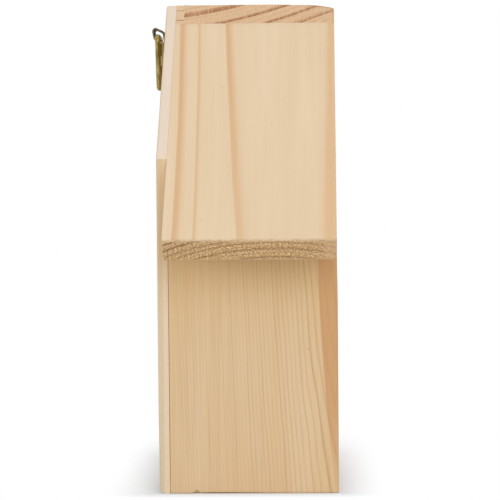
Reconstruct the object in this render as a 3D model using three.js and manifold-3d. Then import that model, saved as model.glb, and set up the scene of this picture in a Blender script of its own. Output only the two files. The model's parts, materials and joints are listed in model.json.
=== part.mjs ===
// Bee house for solitary bees: a gabled pine box, open at the front and stacked with bored bamboo
// canes, closed behind by a thin ply panel that carries a brass strap hanger with a swinging ring.
//
// Millimetres. Every piece is drawn as seen from the open front: x across the house, y up from the
// ground and z out towards the viewer, with zero depth halfway through the boards. The outer group
// stands the drawing up, so that in the finished part Z is up and the open front faces minus Y.
import * as THREE from 'three';
import { mergeVertices } from 'three/addons/utils/BufferGeometryUtils.js';
import Module from 'manifold-3d';

const wasm = await Module();
wasm.setup();

// Driving dimensions
const bodyWidth = 120; // over the outer faces of the two walls
const ridgeHeight = 183;
const eaveReach = 89; // level distance from the ridge to the outer edge of an eave
const boardThick = 11; // walls, floor and roof are the same pine board
const boardDepth = 62; // front edge to back edge of that board
const panelThick = 4;

// Joinery
const boardEase = 0.9; // sanded round on the edges of the boards
const panelEase = 0.3;
const seatGap = 0.3; // glue line wherever two sloping faces meet
const overrun = 1; // how far a cutter runs past the face that it leaves by
const weld = 0.0001; // corners nearer than this are one corner

// Places that several pieces share
const slope = Math.SQRT1_2; // the roof boards meet square, so each one falls at 45 degrees
const slopeLength = eaveReach / slope;
const wallOuter = bodyWidth / 2;
const wallInner = wallOuter - boardThick;
const boardBack = -boardDepth / 2;
const boardFront = boardDepth / 2;
const panelBack = boardBack - panelThick;

const paint = {
  pine: { color: 0xe6cda6, roughness: 0.72, metalness: 0 },
  sawnPine: { color: 0xdcbd8f, roughness: 0.78, metalness: 0 },
  ply: { color: 0xdcc4a0, roughness: 0.75, metalness: 0 },
  bamboo: { color: 0xd9bf85, roughness: 0.5, metalness: 0 },
  brass: { color: 0x8a7232, roughness: 0.35, metalness: 1 },
  steel: { color: 0x9a9a96, roughness: 0.4, metalness: 1 },
};

function piece(name, geometry, finish) {
  const mesh = new THREE.Mesh(geometry, new THREE.MeshStandardMaterial(finish));
  mesh.name = name;
  return mesh;
}

// A closed three.js geometry as a solid that can be cut
function solid(geometry) {
  const bare = geometry.clone();
  bare.deleteAttribute('normal');
  bare.deleteAttribute('uv');
  const welded = mergeVertices(bare, weld);
  const vertProperties = new Float32Array(welded.attributes.position.array);
  const triVerts = new Uint32Array(welded.index.array);
  return new wasm.Manifold(new wasm.Mesh({ numProp: 3, vertProperties, triVerts }));
}

function geometryOf(cut) {
  const { vertProperties, triVerts } = cut.getMesh();
  const geometry = new THREE.BufferGeometry();
  geometry.setAttribute('position', new THREE.BufferAttribute(vertProperties, 3));
  geometry.setIndex(new THREE.BufferAttribute(triVerts, 1));
  geometry.computeVertexNormals();
  return geometry;
}

// A closed outline round the corners, taken anticlockwise, each one an arc of the radius
function roundedOutline(corners, radius) {
  const outline = new THREE.Shape();
  corners.forEach((corner, i) => {
    const toBefore = corners[(i + corners.length - 1) % corners.length].clone().sub(corner).normalize();
    const toAfter = corners[(i + 1) % corners.length].clone().sub(corner).normalize();
    const halfAngle = Math.acos(toBefore.dot(toAfter)) / 2;
    const inward = toBefore.clone().add(toAfter).normalize();
    const middle = corner.clone().addScaledVector(inward, radius / Math.sin(halfAngle));
    const facing = Math.atan2(-inward.y, -inward.x);
    const turn = Math.PI / 2 - halfAngle;
    outline.absarc(middle.x, middle.y, radius, facing - turn, facing + turn, false);
  });
  outline.closePath();
  return outline;
}

// A board or panel whose outline faces the viewer, from one depth to another, all edges sanded
function sandedPrism(corners, back, front, ease) {
  const cornerShare = 1.4; // the corners of the outline are rounder than its long edges
  const steps = 2;
  const geometry = new THREE.ExtrudeGeometry(roundedOutline(corners, ease * cornerShare), {
    depth: front - back - 2 * ease,
    bevelThickness: ease,
    bevelSize: ease,
    bevelOffset: -ease,
    bevelSegments: steps,
    curveSegments: steps,
  });
  return geometry.translate(0, 0, back + ease);
}

// A round bar along the depth, used to bore holes
function borer(radius, x, y, back, front, sides) {
  const length = front - back;
  const geometry = new THREE.CylinderGeometry(radius, radius, length, sides);
  return solid(geometry.rotateX(Math.PI / 2).translate(x, y, back + length / 2));
}

// A point of the roof's section: along the slope from the ridge, and under the outer face
function roofPoint(side, along, under) {
  return new THREE.Vector2(side * (along - under) * slope, ridgeHeight - (along + under) * slope);
}

// Height of the plane that lies at a distance under the roof's outer face
function roofLevel(x, under) {
  return ridgeHeight - Math.abs(x) - under / slope;
}

// Panel pins: two into each wall, two into each roof board and one into the floor
const pin = {
  length: 18,
  radius: 0.7,
  headRadius: 1.5,
  headThick: 0.6,
  pointLength: 1.5,
  clearance: 0.3,
  sides: 8,
  wallShares: [0.2, 0.82],
  slopeShares: [0.3, 0.78],
};

function pinPlaces() {
  const places = [{ into: 'floor_board', x: 0, y: boardThick / 2 }];
  const wallTop = roofLevel(wallOuter, boardThick);
  const coveredSlope = wallOuter / slope;
  for (const [hand, side] of [['left', -1], ['right', 1]]) {
    for (const share of pin.wallShares) {
      places.push({ into: `${hand}_wall`, x: side * (wallOuter - boardThick / 2), y: wallTop * share });
    }
    for (const share of pin.slopeShares) {
      const middle = roofPoint(side, coveredSlope * share, boardThick / 2);
      places.push({ into: `${hand}_roof_board`, x: middle.x, y: middle.y });
    }
  }
  return places;
}

const pins = pinPlaces();

// The board with a hole for each pin that is driven into it
function pinnedBoard(name, geometry) {
  const radius = pin.radius + pin.clearance;
  const front = panelBack + pin.length + pin.clearance;
  return geometryOf(pins
    .filter((place) => place.into === name)
    .map((place) => borer(radius, place.x, place.y, boardBack - overrun, front, pin.sides))
    .reduce((board, hole) => board.subtract(hole), solid(geometry)));
}

function pinGeometry() {
  const profile = [
    new THREE.Vector2(0, -pin.length),
    new THREE.Vector2(pin.radius, pin.pointLength - pin.length),
    new THREE.Vector2(pin.radius, -pin.headThick),
    new THREE.Vector2(pin.headRadius, -pin.headThick),
    new THREE.Vector2(pin.headRadius, 0),
    new THREE.Vector2(0, 0),
  ];
  return new THREE.LatheGeometry(profile, pin.sides);
}

function makePins() {
  return pins.map((place, i) => {
    const mesh = piece(`panel_pin_${i + 1}`, pinGeometry(), paint.steel);
    mesh.rotation.x = -Math.PI / 2;
    mesh.position.set(place.x, place.y, panelBack);
    return mesh;
  });
}

function makeWall(name, side) {
  const corners = [
    new THREE.Vector2(side * wallInner, 0),
    new THREE.Vector2(side * wallOuter, 0),
    new THREE.Vector2(side * wallOuter, roofLevel(wallOuter, boardThick + seatGap)),
    new THREE.Vector2(side * wallInner, roofLevel(wallInner, boardThick + seatGap)),
  ];
  if (side < 0) corners.reverse();
  const board = sandedPrism(corners, boardBack, boardFront, boardEase);
  return piece(name, pinnedBoard(name, board), paint.sawnPine);
}

function makeFloor() {
  const name = 'floor_board';
  const corners = [
    new THREE.Vector2(-wallInner, 0),
    new THREE.Vector2(wallInner, 0),
    new THREE.Vector2(wallInner, boardThick),
    new THREE.Vector2(-wallInner, boardThick),
  ];
  const board = sandedPrism(corners, boardBack, boardFront, boardEase);
  return piece(name, pinnedBoard(name, board), paint.sawnPine);
}

// The right board runs up to the ridge and shows its end there; the left one butts under it
function makeRoofBoard(name, side) {
  const top = side < 0 ? boardThick + seatGap : 0;
  const corners = [
    roofPoint(side, top, 0),
    roofPoint(side, top, boardThick),
    roofPoint(side, slopeLength, boardThick),
    roofPoint(side, slopeLength, 0),
  ];
  if (side < 0) corners.reverse();
  const board = sandedPrism(corners, boardBack, boardFront, boardEase);
  return piece(name, pinnedBoard(name, board), paint.pine);
}

// Bamboo canes, each cut behind a knot that closes its back end
const cane = {
  wideMin: 17,
  wideMax: 22,
  thinMin: 8,
  thinMax: 12,
  gap: 0.3, // between a cane and what it lies on
  knot: 3, // wall left at the closed end
  recessMin: 1.5, // set back from the front edges of the boards
  recessMax: 5,
  mouthEase: 0.6,
  sides: 16,
};
const wideCount = 31;
const thinCount = 11;
const thinStepCount = 8; // from the thickest thin cane to the thinnest
const firstSizeShare = 0.4; // sizes of the wide canes, mixed by steps of the golden section
const nextSizeShare = 0.618;
const wideBoreShares = [0.52, 0.46, 0.54, 0.49, 0.43];
const thinBoreShares = [0.46, 0.42, 0.45];
const recessShares = [0.2, 0.65, 0.4, 0.95, 0.05, 0.5, 0.8];

// The two centres that lie at the given distances from two other centres
function crossings(a, aSpan, b, bSpan) {
  const dx = b.x - a.x;
  const dy = b.y - a.y;
  const apart = Math.hypot(dx, dy);
  if (apart > aSpan + bSpan) return [];
  const along = (apart ** 2 + aSpan ** 2 - bSpan ** 2) / (2 * apart);
  const square = aSpan ** 2 - along ** 2;
  if (square < 0) return [];
  const off = Math.sqrt(square) / apart;
  const x = a.x + dx * along / apart;
  const y = a.y + dy * along / apart;
  return [{ x: x - dy * off, y: y + dx * off }, { x: x + dy * off, y: y - dx * off }];
}

// Every place where a cane would touch two of its supports: floor, walls and earlier canes
function restingPlaces(radius, stack) {
  const reach = radius + cane.gap;
  const lowest = boardThick + reach;
  const widest = wallInner - reach;
  const places = [{ x: -widest, y: lowest }, { x: widest, y: lowest }];
  stack.forEach((under, i) => {
    const span = under.radius + reach;
    const rise = lowest - under.y;
    if (Math.abs(rise) < span) {
      const run = Math.sqrt(span ** 2 - rise ** 2);
      places.push({ x: under.x - run, y: lowest }, { x: under.x + run, y: lowest });
    }
    for (const x of [-widest, widest]) {
      const run = x - under.x;
      if (Math.abs(run) < span) places.push({ x, y: under.y + Math.sqrt(span ** 2 - run ** 2) });
    }
    for (const other of stack.slice(0, i)) {
      places.push(...crossings(under, span, other, other.radius + reach));
    }
  });
  return places;
}

function isFree(place, radius, stack) {
  const slackShare = 0.999999; // lets a cane touch the gap of its supports
  const reach = (radius + cane.gap) * slackShare;
  const underRoof = (roofLevel(place.x, boardThick) - place.y) * slope;
  return place.y - boardThick >= reach
    && wallInner - Math.abs(place.x) >= reach
    && underRoof >= reach
    && stack.every((other) => {
      const span = (radius + other.radius + cane.gap) * slackShare;
      return Math.hypot(place.x - other.x, place.y - other.y) >= span;
    });
}

// A cane drops to the lowest place that is free for it, if there is one
function dropCane(radius, boreShares, stack) {
  const free = restingPlaces(radius, stack).filter((place) => isFree(place, radius, stack));
  if (free.length === 0) return false;
  free.sort((a, b) => a.y - b.y || a.x - b.x);
  stack.push({ ...free[0], boreShares, radius });
  return true;
}

// The wide canes go in first, and thin ones fill the gaps, the thickest that fit before the thinnest
function stackCanes() {
  const stack = [];
  for (let i = 0; i < wideCount; i += 1) {
    const share = (firstSizeShare + i * nextSizeShare) % 1;
    dropCane((cane.wideMin + share * (cane.wideMax - cane.wideMin)) / 2, wideBoreShares, stack);
  }
  for (let step = thinStepCount; step >= 0; step -= 1) {
    const share = step / thinStepCount;
    const radius = (cane.thinMin + share * (cane.thinMax - cane.thinMin)) / 2;
    while (stack.length < wideCount + thinCount && dropCane(radius, thinBoreShares, stack));
  }
  return stack;
}

function caneGeometry(radius, bore, length) {
  const profile = [
    new THREE.Vector2(0, 0),
    new THREE.Vector2(radius, 0),
    new THREE.Vector2(radius, length),
    new THREE.Vector2(bore + cane.mouthEase, length),
    new THREE.Vector2(bore, length - cane.mouthEase),
    new THREE.Vector2(bore, cane.knot),
    new THREE.Vector2(0, cane.knot),
  ];
  return new THREE.LatheGeometry(profile, cane.sides);
}

function makeCanes() {
  const back = boardBack + cane.gap;
  return stackCanes().map(({ x, y, boreShares, radius }, i) => {
    const bore = radius * boreShares[i % boreShares.length];
    const recessShare = recessShares[i % recessShares.length];
    const recess = cane.recessMin + recessShare * (cane.recessMax - cane.recessMin);
    const geometry = caneGeometry(radius, bore, boardFront - recess - back);
    const mesh = piece(`cane_${String(i + 1).padStart(2, '0')}`, geometry, paint.bamboo);
    mesh.rotation.x = Math.PI / 2;
    mesh.position.set(x, y, back);
    return mesh;
  });
}

// Hanger: a brass strap folded round the bar of a split ring, on one round-head screw.
// It is drawn off the back of the panel: x across, y up, z away from the panel.
const strap = {
  thick: 0.8,
  width: 9,
  layerGap: 0.1,
  standOff: 0.4, // the loop pulls the inner layer this far off the panel
  foldRadius: 1.8, // where it turns out to the loop; bends are measured to the middle of the strap
  rise: 25 * Math.PI / 180, // from the panel up to the top of the loop
  topRadius: 0.95,
  topDrop: 9.1, // top of the loop below the ridge
  topOff: 4.1, // middle of the top bend off the panel
  wrapGap: 0.15, // between the strap and the ring's bar
  wrapTurn: 45 * Math.PI / 180, // where it turns back to the plate
  neckBend: 1.2,
  tail: 12.5, // bar to the lower end
  cornerRadius: 2,
  bendSteps: 5,
  cornerSteps: 4,
};
const strapFace = 2 * strap.thick + strap.layerGap;

const ring = {
  wire: 1, // radius of the wire
  halfWidth: 7, // to the middle of the wire, at the bar
  drop: 19.9, // bar to the lowest bend, between the middles of the wire
  cornerRadius: 2,
  tipRadius: 3,
  barDrop: 12.6, // middle of the bar below the ridge
  barOff: 3.1, // middle of the bar off the panel
  split: 0.4, // butt joint in the bar
  steps: 60,
  sides: 10,
};
const barHeight = ridgeHeight - ring.barDrop;

const screw = {
  drop: 9.3, // below the bar
  shankRadius: 1,
  shankLength: 4.6,
  pointLength: 1.4,
  headRadius: 2.2,
  headHeight: 1.3,
  slotWidth: 0.7,
  slotDepth: 0.6,
  clearance: 0.3,
  sides: 20,
  headSteps: 5,
};
const screwHeight = barHeight - screw.drop;

// The line of points moved sideways by the offset
function movedLine(points, offset) {
  return points.map((point, i) => {
    const before = points[Math.max(i - 1, 0)];
    const after = points[Math.min(i + 1, points.length - 1)];
    const heading = after.clone().sub(before).normalize();
    return new THREE.Vector2(point.x - heading.y * offset, point.y + heading.x * offset);
  });
}

// Middle line of the folded strap: up the panel, out over the ring's bar, round it and back down
function strapLine() {
  const { thick, foldRadius, rise, topRadius, topOff, wrapTurn, neckBend } = strap;
  const inner = thick / 2;
  const end = barHeight - strap.tail;
  const foldOff = inner + strap.standOff + foldRadius;
  const topHeight = ridgeHeight - strap.topDrop - thick / 2 - topRadius;
  const leaving = rise + Math.PI / 2;
  const run = topOff - foldOff + (topRadius - foldRadius) * Math.cos(leaving);
  const foldHeight = topHeight + (topRadius - foldRadius) * Math.sin(leaving) - run * Math.tan(rise);

  const wrapRadius = ring.wire + strap.wrapGap + thick / 2;
  const apart = Math.hypot(topOff - ring.barOff, topHeight - barHeight);
  const meeting = Math.atan2(topHeight - barHeight, topOff - ring.barOff)
    - Math.acos((wrapRadius - topRadius) / apart);
  const outer = strapFace - thick / 2;
  const slant = (ring.barOff + wrapRadius * Math.cos(wrapTurn) - outer) / Math.sin(wrapTurn);
  const neckHeight = barHeight - wrapRadius * Math.sin(wrapTurn) - slant * Math.cos(wrapTurn);

  const line = new THREE.Path();
  line.moveTo(inner, end);
  line.lineTo(inner, neckHeight - neckBend);
  line.absarc(foldOff, foldHeight, foldRadius, Math.PI, leaving, true);
  line.absarc(topOff, topHeight, topRadius, leaving, meeting, true);
  line.absarc(ring.barOff, barHeight, wrapRadius, meeting, -wrapTurn, true);
  line.lineTo(outer + neckBend * Math.sin(wrapTurn), neckHeight + neckBend * Math.cos(wrapTurn));
  line.quadraticCurveTo(outer, neckHeight, outer, neckHeight - neckBend);
  line.lineTo(outer, end);
  return line.getPoints(strap.bendSteps);
}

function makeStrap() {
  const line = strapLine();
  const section = new THREE.Shape([
    ...movedLine(line, -strap.thick / 2),
    ...movedLine(line, strap.thick / 2).reverse(),
  ]);
  const folded = new THREE.ExtrudeGeometry(section, { depth: strap.width, bevelEnabled: false });
  folded.rotateY(-Math.PI / 2).translate(strap.width / 2, 0, 0);

  const end = barHeight - strap.tail;
  const top = ridgeHeight;
  const half = strap.width / 2;
  const plan = roundedOutline([
    new THREE.Vector2(-half, end),
    new THREE.Vector2(half, end),
    new THREE.Vector2(half, top),
    new THREE.Vector2(-half, top),
  ], strap.cornerRadius);
  const reach = strap.topOff + strap.topRadius + strap.thick;
  const blank = new THREE.ExtrudeGeometry(plan, {
    depth: reach + 2 * overrun,
    bevelEnabled: false,
    curveSegments: strap.cornerSteps,
  }).translate(0, 0, -overrun);

  const holeRadius = screw.shankRadius + screw.clearance;
  const hole = borer(holeRadius, 0, screwHeight, -overrun, strapFace + overrun, screw.sides);
  const shaped = solid(folded).intersect(solid(blank)).subtract(hole);
  return piece('hanger_strap', geometryOf(shaped), paint.brass);
}

// Half of the ring's line is two arcs and the straight leg that touches both
class RingLine extends THREE.Curve {
  constructor() {
    super();
    const { halfWidth, drop, cornerRadius, tipRadius, split } = ring;
    const cornerX = halfWidth - cornerRadius;
    const tipY = tipRadius - drop;
    const heading = Math.atan2(tipY + cornerRadius, -cornerX);
    const apart = Math.hypot(cornerX, tipY + cornerRadius);
    const lean = heading + Math.acos((cornerRadius - tipRadius) / apart);
    this.line = new THREE.Path();
    this.line.moveTo(split / 2, 0);
    this.line.lineTo(cornerX, 0);
    this.line.absarc(cornerX, -cornerRadius, cornerRadius, Math.PI / 2, lean, true);
    this.line.absarc(0, tipY, tipRadius, lean, -Math.PI - lean, true);
    this.line.absarc(-cornerX, -cornerRadius, cornerRadius, Math.PI - lean, Math.PI / 2, true);
    this.line.lineTo(-split / 2, 0);
  }

  getPoint(t, target = new THREE.Vector3()) {
    const point = this.line.getPoint(t);
    return target.set(point.x, point.y, 0);
  }
}

function makeRing() {
  const wire = new THREE.Shape();
  wire.absarc(0, 0, ring.wire, 0, 2 * Math.PI, false);
  const geometry = new THREE.ExtrudeGeometry(wire, {
    steps: ring.steps,
    curveSegments: ring.sides / 2,
    extrudePath: new RingLine(),
  });
  const mesh = piece('hanger_ring', geometry, paint.brass);
  mesh.position.set(0, barHeight, ring.barOff);
  return mesh;
}

function makeScrew() {
  const { shankRadius, shankLength, pointLength, headRadius, headHeight, headSteps } = screw;
  const profile = [
    new THREE.Vector2(0, -shankLength),
    new THREE.Vector2(shankRadius, pointLength - shankLength),
    new THREE.Vector2(shankRadius, 0),
  ];
  for (let i = 0; i <= headSteps; i += 1) {
    const turn = i / headSteps * Math.PI / 2;
    const radius = i === headSteps ? 0 : headRadius * Math.cos(turn);
    profile.push(new THREE.Vector2(radius, headHeight * Math.sin(turn)));
  }
  const body = new THREE.LatheGeometry(profile, screw.sides).rotateX(Math.PI / 2);
  const cutDepth = screw.slotDepth + overrun;
  const slot = new THREE.BoxGeometry(2 * (headRadius + overrun), screw.slotWidth, cutDepth);
  slot.translate(0, 0, headHeight - screw.slotDepth + cutDepth / 2);
  const mesh = piece('hanger_screw', geometryOf(solid(body).subtract(solid(slot))), paint.brass);
  mesh.position.set(0, screwHeight, strapFace);
  return mesh;
}

function makePanel() {
  const corners = [
    new THREE.Vector2(-wallOuter, 0),
    new THREE.Vector2(wallOuter, 0),
    new THREE.Vector2(wallOuter, roofLevel(wallOuter, 0)),
    new THREE.Vector2(0, ridgeHeight),
    new THREE.Vector2(-wallOuter, roofLevel(wallOuter, 0)),
  ];
  let panel = solid(sandedPrism(corners, panelBack, boardBack, panelEase));
  for (const place of pins) {
    const shank = pin.radius + pin.clearance;
    const head = pin.headRadius + pin.clearance;
    panel = panel
      .subtract(borer(shank, place.x, place.y, panelBack - overrun, boardBack + overrun, pin.sides))
      .subtract(borer(head, place.x, place.y, panelBack - overrun, panelBack + pin.headThick, pin.sides));
  }
  const screwDepth = screw.shankLength - strapFace + screw.clearance;
  const pilot = borer(screw.shankRadius + screw.clearance, 0, screwHeight, panelBack - overrun,
    panelBack + screwDepth, screw.sides);
  return piece('back_panel', geometryOf(panel.subtract(pilot)), paint.ply);
}

const hanger = new THREE.Group();
hanger.add(makeStrap(), makeRing(), makeScrew());
hanger.rotation.y = Math.PI;
hanger.position.z = panelBack;

const house = new THREE.Group();
house.add(
  makeFloor(),
  makeWall('left_wall', -1),
  makeWall('right_wall', 1),
  makeRoofBoard('left_roof_board', -1),
  makeRoofBoard('right_roof_board', 1),
  makePanel(),
  hanger,
  ...makePins(),
  ...makeCanes(),
);
house.rotation.x = Math.PI / 2;

export default new THREE.Group().add(house);
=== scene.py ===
# Bee house: the looks of its pine boards, ply panel, bamboo canes and brass hanger.
# Lengths in the dictionaries are millimetres unless a note says otherwise. A tone of three numbers is sRGB,
# 0 to 255, and one of four is linear.
import json
import math
import random
import bmesh
import bpy
from mathutils import Matrix, Vector, noise

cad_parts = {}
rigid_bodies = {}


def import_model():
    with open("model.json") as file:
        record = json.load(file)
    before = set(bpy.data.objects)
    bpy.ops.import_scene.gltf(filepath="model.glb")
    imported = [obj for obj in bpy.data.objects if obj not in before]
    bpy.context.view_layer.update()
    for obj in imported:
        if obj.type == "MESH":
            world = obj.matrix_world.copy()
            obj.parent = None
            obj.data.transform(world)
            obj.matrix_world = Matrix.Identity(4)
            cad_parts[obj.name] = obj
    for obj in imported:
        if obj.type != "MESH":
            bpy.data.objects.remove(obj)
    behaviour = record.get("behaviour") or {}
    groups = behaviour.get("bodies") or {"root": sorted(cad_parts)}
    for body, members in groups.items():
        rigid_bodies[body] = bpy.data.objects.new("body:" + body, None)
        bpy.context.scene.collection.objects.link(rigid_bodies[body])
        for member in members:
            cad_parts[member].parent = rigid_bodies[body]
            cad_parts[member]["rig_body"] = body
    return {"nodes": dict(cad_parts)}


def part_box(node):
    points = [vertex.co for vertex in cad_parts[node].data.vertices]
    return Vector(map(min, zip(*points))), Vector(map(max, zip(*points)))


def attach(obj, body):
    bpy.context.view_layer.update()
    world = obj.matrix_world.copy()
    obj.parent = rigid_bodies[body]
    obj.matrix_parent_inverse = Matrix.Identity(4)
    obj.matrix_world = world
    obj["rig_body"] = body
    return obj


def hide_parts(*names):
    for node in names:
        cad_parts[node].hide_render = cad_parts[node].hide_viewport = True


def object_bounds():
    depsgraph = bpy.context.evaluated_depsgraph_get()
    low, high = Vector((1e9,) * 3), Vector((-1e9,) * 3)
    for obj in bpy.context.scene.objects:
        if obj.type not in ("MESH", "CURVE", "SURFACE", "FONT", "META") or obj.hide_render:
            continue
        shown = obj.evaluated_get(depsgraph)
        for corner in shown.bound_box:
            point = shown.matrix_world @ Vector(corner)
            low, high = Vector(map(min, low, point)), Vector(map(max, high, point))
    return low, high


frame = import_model()
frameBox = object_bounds()
mm = 0.001
slope = math.sqrt(0.5)  # the roof falls at 45 degrees
print("frame loaded")

# Camera at the photograph's standpoint, worked out from the corners of the house
viewpoint = {
    "place": (-0.805, -0.026, 0.1238),  # metres
    "yaw": 2.067,  # degrees, from straight along +X
    "pitch": -2.647,
    "roll": -0.489,
    "lens": 147.3,
    "sensor": 36,
}


def addCamera():
    yaw, pitch, roll = (math.radians(viewpoint[turn]) for turn in ("yaw", "pitch", "roll"))
    level = math.cos(pitch)
    ahead = Vector((math.cos(yaw) * level, math.sin(yaw) * level, math.sin(pitch)))
    right = ahead.cross(Vector((0, 0, 1))).normalized()
    up = right.cross(ahead)
    rolledRight = right * math.cos(roll) + up * math.sin(roll)
    rolledUp = up * math.cos(roll) - right * math.sin(roll)
    data = bpy.data.cameras.new("camera")
    data.lens = viewpoint["lens"]
    data.sensor_width = viewpoint["sensor"]
    camera = bpy.data.objects.new("camera", data)
    facing = Matrix((rolledRight, rolledUp, -ahead)).transposed().to_4x4()
    camera.matrix_world = Matrix.Translation(viewpoint["place"]) @ facing
    bpy.context.scene.collection.objects.link(camera)
    bpy.context.scene.camera = camera


# The standard sRGB curve: straight below its knee and a power above it
curve = {"knee": 0.04045, "straight": 12.92, "lift": 0.055, "power": 2.4}


def shade(red, green, blue):
    linear = []
    for part in (red / 255, green / 255, blue / 255):
        if part <= curve["knee"]:
            linear.append(part / curve["straight"])
        else:
            linear.append(((part + curve["lift"]) / (1 + curve["lift"])) ** curve["power"])
    return (*linear, 1)


# A material being made: short ways to add and join its nodes
class Finish:
    def __init__(self, name, owner=None):
        self.owner = owner or bpy.data.materials.new(name)
        self.owner.use_nodes = True
        self.tree = self.owner.node_tree
        self.tree.nodes.clear()
        self.place = self.add("TexCoord").outputs["Object"]

    def feed(self, socket, value):
        if isinstance(value, bpy.types.NodeSocket):
            self.tree.links.new(value, socket)
        else:
            socket.default_value = value

    def add(self, kind, inputs=(), **settings):
        node = self.tree.nodes.new("ShaderNode" + kind)
        for setting, value in settings.items():
            setattr(node, setting, value)
        for socket, value in dict(inputs).items():
            self.feed(node.inputs[socket], value)
        return node

    def reckon(self, operation, first, second=0.0, third=0.0):
        return self.add("Math", {0: first, 1: second, 2: third}, operation=operation).outputs[0]

    def plus(self, first, second):
        return self.reckon("ADD", first, second)

    def less(self, first, second):
        return self.reckon("SUBTRACT", first, second)

    def times(self, first, second):
        return self.reckon("MULTIPLY", first, second)

    def over(self, first, second):
        return self.reckon("DIVIDE", first, second)

    # a value times a factor, plus an offset
    def scaled(self, value, factor, offset):
        return self.reckon("MULTIPLY_ADD", value, factor, offset)

    # the greater of two values
    def greater(self, first, second):
        return self.reckon("MAXIMUM", first, second)

    def vector(self, operation, first, second=(0, 0, 0)):
        node = self.add("VectorMath", {0: first, 1: second}, operation=operation)
        return node.outputs["Value" if operation in ("DOT_PRODUCT", "LENGTH") else "Vector"]

    # millimetres along a direction, counted from a start
    def coordinate(self, direction, start=0.0):
        along = self.vector("DOT_PRODUCT", self.place, direction)
        return self.scaled(along, 1 / mm, -start)

    def join(self, x, y, z):
        return self.add("CombineXYZ", {0: x, 1: y, 2: z}).outputs[0]

    # noise at a spot: how often it comes along each axis, then its detail and its roughness
    def clouds(self, spot, figure, shift=0):
        often, detail, roughness = figure
        spot = self.vector("MULTIPLY", spot, often)
        if shift:
            spot = self.vector("ADD", spot, (shift, 0, 0))
        values = {"Vector": spot, "Scale": 1, "Detail": detail, "Roughness": roughness}
        return self.add("TexNoise", values).outputs[0]

    # distance to the nearest of some scattered dots
    def dots(self, spot, scale):
        return self.add("TexVoronoi", {"Vector": spot, "Scale": scale}).outputs["Distance"]

    # a soft step from one share to another while a value goes from low to high
    def spread(self, value, low, high, toLow=0.0, toHigh=1.0):
        values = {"Value": value, "From Min": low, "From Max": high, "To Min": toLow, "To Max": toHigh}
        return self.add("MapRange", values, interpolation_type="SMOOTHSTEP").outputs[0]

    def ramp(self, value, stops):
        node = self.add("ValToRGB", {"Fac": value})
        elements = node.color_ramp.elements
        for element, (position, grey) in zip(elements, (stops[0], stops[-1])):
            element.position = position
            element.color = (grey, grey, grey, 1)
        for position, grey in stops[1:-1]:
            elements.new(position).color = (grey, grey, grey, 1)
        return node.outputs[0]

    def mix(self, share, first, second, blend="MIX"):
        first, second = (shade(*tone) if isinstance(tone, tuple) and len(tone) == 3 else tone
                         for tone in (first, second))
        node = self.add("Mix", {0: share, 6: first, 7: second}, data_type="RGBA", blend_type=blend)
        return node.outputs[2]

    def relief(self, height, distance):
        return self.add("Bump", {"Height": height, "Distance": distance * mm}).outputs[0]

    # how squarely the surface faces a direction or its opposite
    def facing(self, direction):
        normal = self.add("TexCoord").outputs["Normal"]
        return self.reckon("ABSOLUTE", self.vector("DOT_PRODUCT", normal, direction))

    def surface(self, colour, roughness, relief=None, **fixed):
        node = self.add("BsdfPrincipled", {"Base Color": colour, "Roughness": roughness})
        for socket, value in fixed.items():
            node.inputs[socket.replace("_", " ")].default_value = value
        if relief:
            self.feed(node.inputs["Normal"], relief)
        self.add("OutputMaterial", {0: node.outputs[0]})
        return self.owner


# How far a node reaches in a direction, in millimetres
def reach(node, direction):
    way = Vector(direction)
    return max(way.dot(corner.co) for corner in frame["nodes"][node].data.vertices) / mm


# Floor, background and light. The floor's reach and the lamps' places and sizes are metres, power is watts
studio = {
    "floorReach": 20,
    "floorTone": 0.8,
    "shadowTone": (0.87, 0.92, 0.985),  # of the floor seen close to the house, before its shadow
    "shadowFall": 1.6,  # above 1 the shadow drops faster near the foot
    # each side of the house: where the floor's shade starts to fade, beyond the face, and how far it reaches
    "nearShade": (0, 12),
    "farShade": (-30, 90),
    "frontShade": (0, 17),
    "backShade": (0, 21),
    "frontFade": (-50, 70, 0.4),  # from and to along X, and the share of the shade lost there
    "frontPaintedShade": (-70, -60, 0.1),  # the same, for painted shade that darkens the floor's tone in front of the house
    "backPaintedShade": (-60, 40, 0.16),  # and painted shade behind it
    "sideEdge": 0.02,  # over which those last three set in, as a share of the shade's reach
    "skyTop": 0.49,
    "skySide": 0.47,
    "lamps": [
        {"name": "overhead", "place": (-0.5, -0.2, 1.5), "size": 1.4, "power": 3.4},
        {"name": "nearSide", "place": (-1.5, -0.4, 0.6), "size": 1.2, "power": 8.3},
        {"name": "backSide", "place": (-0.9, 1.2, 0.45), "size": 0.8, "power": 4},
        {"name": "farSide", "place": (1.3, -0.2, 1.0), "size": 1.4, "power": 7.5},
        {"name": "openFront", "place": (0.2, -1.3, 0.5), "size": 1.0, "power": 4},
    ],
}


# 1 for the rays that see the background: from the camera, and in metal and glass
def seenRays(finish):
    rays = finish.add("LightPath").outputs
    mirrored = finish.greater(rays["Is Glossy Ray"], rays["Is Transmission Ray"])
    return finish.greater(rays["Is Camera Ray"], mirrored)


def addSky():
    world = bpy.data.worlds.new("studio")
    sky = Finish("studio", world)
    height = sky.add("SeparateXYZ", {0: sky.add("TexCoord").outputs["Generated"]}).outputs["Z"]
    strength = sky.spread(height, 0, 1, studio["skySide"], studio["skyTop"])
    light = sky.add("Background", {"Color": (1, 1, 1, 1), "Strength": strength})
    white = sky.add("Background", {"Color": (1, 1, 1, 1), "Strength": 1})
    choice = sky.add("MixShader", {0: seenRays(sky), 1: light.outputs[0], 2: white.outputs[0]})
    sky.add("OutputWorld", {0: choice.outputs[0]})
    bpy.context.scene.world = world


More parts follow.
